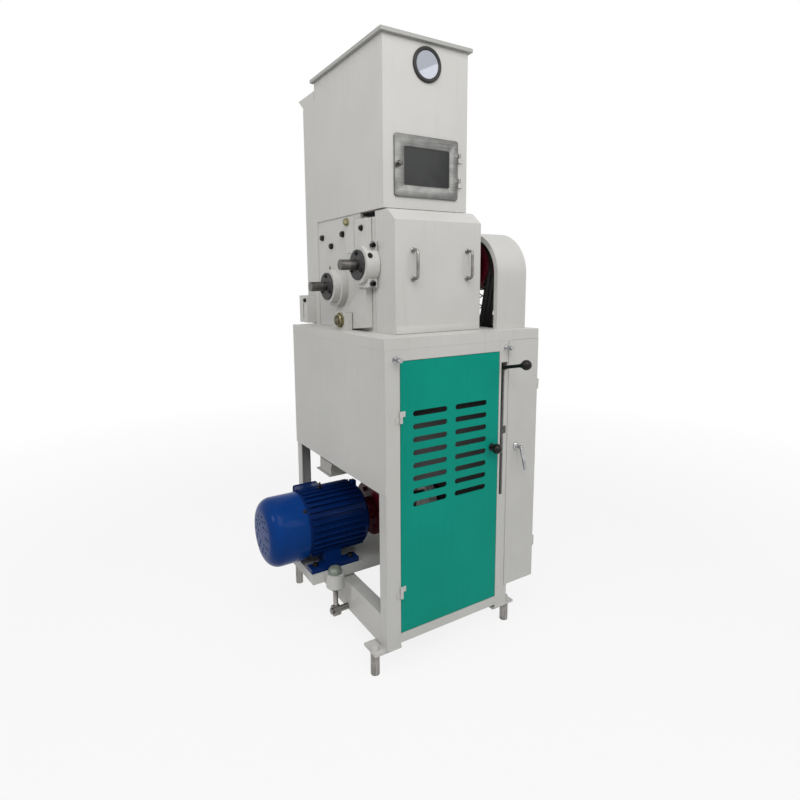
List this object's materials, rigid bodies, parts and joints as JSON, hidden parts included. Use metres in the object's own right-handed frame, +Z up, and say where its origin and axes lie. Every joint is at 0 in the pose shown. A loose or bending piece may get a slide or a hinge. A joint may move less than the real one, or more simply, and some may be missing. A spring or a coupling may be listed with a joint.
{
  "type": "rice huller",
  "caption": "Rubber-roll rice huller: feed hopper and dust duct over a hand-closed roll box, on a sheet-metal base with a motor on a tilting cradle, belt guard and louvred door.",
  "frame": {"origin": "centre of the four round feet, on the floor", "axes": "+Z up; +Y from the green door to the dust duct at the back; +X from the motor side to the belt case"},
  "size_m": [0.9083, 0.9505, 2.04],
  "materials": {
    "enamel": "semi-gloss off-white enamel",
    "green_enamel": "semi-gloss sea-green enamel",
    "blue_enamel": "glossy blue enamel",
    "maroon_enamel": "semi-gloss maroon enamel",
    "stainless": "brushed",
    "bare_steel": "machined, lightly oiled",
    "cast_grey": "dark grey paint",
    "galvanised": "zinc-coated sheet",
    "black_oxide": "black oxide",
    "yellow_zinc": "yellow passivated zinc",
    "rubber_black": "matt",
    "roll_rubber": "matt pale rubber",
    "buffer_rubber": "matt grey-green",
    "bakelite": "polished black",
    "clear_glass": "clear",
    "smoked_glass": "smoked"
  },
  "bodies": {
    "base": {"frame_posts": "enamel", "frame_rails": "enamel", "foot_plates": "enamel", "feet": "bare_steel", "frame_bolts": "black_oxide", "top_cap": "enamel", "side_panels": "enamel", "belt_case": "enamel", "collecting_hopper": "galvanised", "roll_box_plates": "enamel", "pivot_blocks": "enamel", "rear_housings": "enamel", "rear_bearings": "cast_grey", "feed_plates": "galvanised", "hopper_shell": "enamel", "sight_glass_ring": "rubber_black", "sight_glass": "clear_glass", "hinge_pins": "bare_steel", "rear_duct": "enamel", "belt_guard": "enamel", "guard_mesh": "enamel", "drive_belts": "rubber_black", "tension_rod": "bare_steel", "cradle_hinge_bar": "bare_steel"},
    "door": {"front_door": "green_enamel"},
    "knob": {"door_knob": "bakelite"},
    "panel": {"case_panel": "enamel"},
    "latch": {"panel_latch": "bare_steel"},
    "hatch": {"inspection_door": "stainless", "inspection_window": "smoked_glass"},
    "hatch_knob": {"inspection_knob": "stainless"},
    "cover": {"front_cover": "enamel", "cover_handles": "stainless"},
    "lever": {"hand_lever": "bare_steel", "lever_ball": "bakelite", "lever_shaft": "bare_steel"},
    "pull": {"pull_rod": "bare_steel"},
    "swing": {"swing_arms": "enamel", "bearing_caps": "enamel", "arm_fasteners": "yellow_zinc", "front_bearings": "cast_grey", "arm_pivot_shaft": "bare_steel"},
    "front_roll": {"front_roll_core": "bare_steel", "front_roll_rubber": "roll_rubber", "front_roll_pulley": "maroon_enamel"},
    "rear_roll": {"rear_roll_core": "bare_steel", "rear_roll_rubber": "roll_rubber", "rear_roll_pulley": "maroon_enamel"},
    "idler": {"idler_pulley": "maroon_enamel"},
    "cradle": {"motor_cradle": "enamel", "tension_stack": "buffer_rubber", "motor_frame": "blue_enamel", "fan_cowl": "blue_enamel", "motor_fasteners": "black_oxide", "bearing_stands": "enamel"},
    "drive": {"drive_shafts": "bare_steel", "cooling_fan": "bakelite", "coupling": "maroon_enamel", "drive_pulley": "maroon_enamel"},
    "gate": {"feed_gate": "yellow_zinc"}
  },
  "joints": [
    {"name": "rear_roll_spin", "type": "hinge", "parent": "base", "child": "rear_roll", "pos_m": [0, 0.1355, 1.254], "axis": [1, 0, 0], "continuous": true},
    {"name": "arm_swing", "type": "hinge", "parent": "base", "child": "swing", "pos_m": [0, 0.0225, 1.135], "axis": [1, 0, 0], "range_deg": [0, 3.5], "deforming": ["drive_belts"]},
    {"name": "front_roll_spin", "type": "hinge", "parent": "swing", "child": "front_roll", "pos_m": [0, -0.1105, 1.326], "axis": [1, 0, 0], "continuous": true},
    {"name": "lever_swing", "type": "hinge", "parent": "base", "child": "lever", "pos_m": [0.2185, -0.0475, 0.91], "axis": [1, 0, 0], "range_deg": [0, 50]},
    {"name": "pull_rod_pivot", "type": "hinge", "parent": "swing", "child": "pull", "pos_m": [0.1915, -0.0523, 1.135], "axis": [1, 0, 0], "range_deg": [-3.6, 0]},
    {"name": "cradle_tilt", "type": "hinge", "parent": "base", "child": "cradle", "pos_m": [0, 0.2675, 0.214], "axis": [-1, 0, 0], "range_deg": [0, 3], "deforming": ["drive_belts"]},
    {"name": "drive_spin", "type": "hinge", "parent": "cradle", "child": "drive", "pos_m": [0, 0.0775, 0.376], "axis": [1, 0, 0], "continuous": true},
    {"name": "idler_spin", "type": "hinge", "parent": "base", "child": "idler", "pos_m": [0.3105, 0.2675, 1], "axis": [1, 0, 0], "continuous": true},
    {"name": "door_swing", "type": "hinge", "parent": "base", "child": "door", "pos_m": [-0.20175, -0.3635, 0.6], "axis": [0, 0, -1], "range_deg": [0, 110]},
    {"name": "door_knob_turn", "type": "hinge", "parent": "door", "child": "knob", "pos_m": [0.1725, -0.3575, 0.7], "axis": [0, -1, 0], "range_deg": [0, 90]},
    {"name": "panel_swing", "type": "hinge", "parent": "base", "child": "panel", "pos_m": [0.3888, -0.353, 0.6], "axis": [0, 0, 1], "range_deg": [0, 110]},
    {"name": "panel_latch_turn", "type": "hinge", "parent": "panel", "child": "latch", "pos_m": [0.2835, -0.3605, 0.687], "axis": [0, -1, 0], "range_deg": [0, 90]},
    {"name": "inspection_swing", "type": "hinge", "parent": "base", "child": "hatch", "pos_m": [0.1425, -0.2035, 1.64], "axis": [0, 0, 1], "range_deg": [0, 110]},
    {"name": "inspection_knob_turn", "type": "hinge", "parent": "hatch", "child": "hatch_knob", "pos_m": [-0.1065, -0.2035, 1.6435], "axis": [0, -1, 0], "range_deg": [0, 90]},
    {"name": "cover_pull", "type": "slide", "parent": "base", "child": "cover", "axis": [0, -1, 0], "range_m": [0, 0.2]},
    {"name": "feed_gate_swing", "type": "hinge", "parent": "base", "child": "gate", "pos_m": [0, 0.0525, 1.481], "axis": [-1, 0, 0], "range_deg": [0, 50]}
  ],
  "couplings": [
    {"joint": "front_roll_spin", "follows": "rear_roll_spin", "ratio": -1.2889},
    {"joint": "drive_spin", "follows": "rear_roll_spin", "ratio": -1.45},
    {"joint": "idler_spin", "follows": "rear_roll_spin", "ratio": -2.1091},
    {"joint": "lever_swing", "follows": "arm_swing", "ratio": 14.28},
    {"joint": "pull_rod_pivot", "follows": "arm_swing", "ratio": -1}
  ]
}
